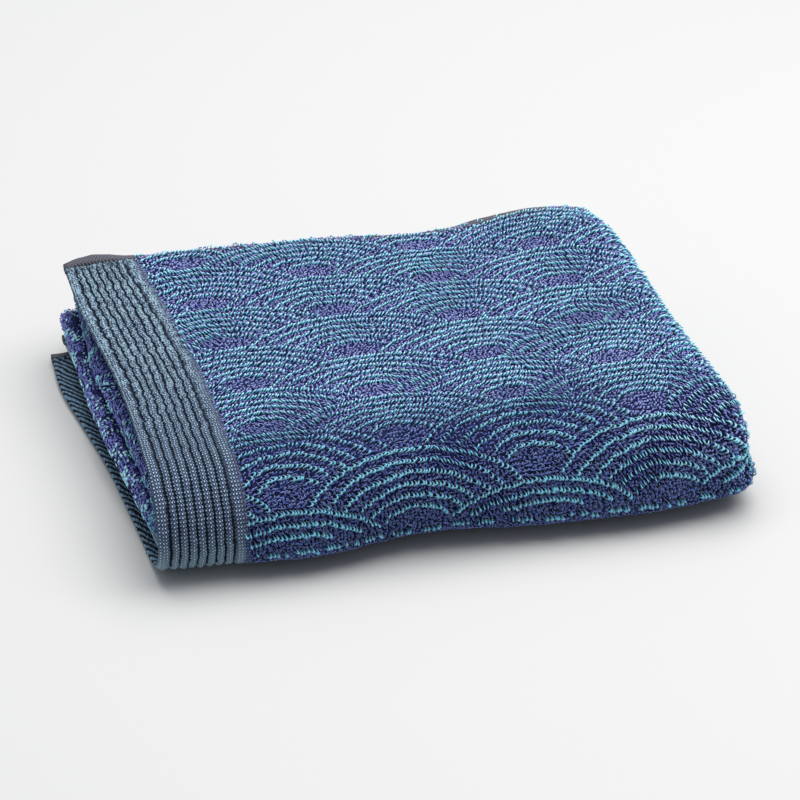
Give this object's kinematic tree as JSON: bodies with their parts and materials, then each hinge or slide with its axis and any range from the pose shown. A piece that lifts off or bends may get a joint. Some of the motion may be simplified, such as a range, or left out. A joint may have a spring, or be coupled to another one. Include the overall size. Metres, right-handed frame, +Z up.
{
  "type": "face towel",
  "caption": "Terry face towel with ribbed flat-woven end borders and bound long edges, folded lengthwise in four and once across into a soft eight-layer stack.",
  "frame": {"origin": "on the surface the towel rests on, under the middle of its bounding box", "axes": "+X towards the two big folds of the towel's length, -X towards its ends, -Y towards the rounded fold of its width, +Z up"},
  "size_m": [0.2136, 0.1782, 0.0379],
  "materials": {
    "terry": "cotton loop pile, purple-blue ground with turquoise raised lines",
    "ribbed_border": "flat ribbed weave speckled light blue on slate",
    "edging": "close-woven dark grey binding"
  },
  "bodies": {
    "root": {"terry_body": "terry", "border_outer_end": "ribbed_border", "border_inner_end": "ribbed_border", "edging_upper": "edging", "edging_lower": "edging"}
  },
  "joints": []
}
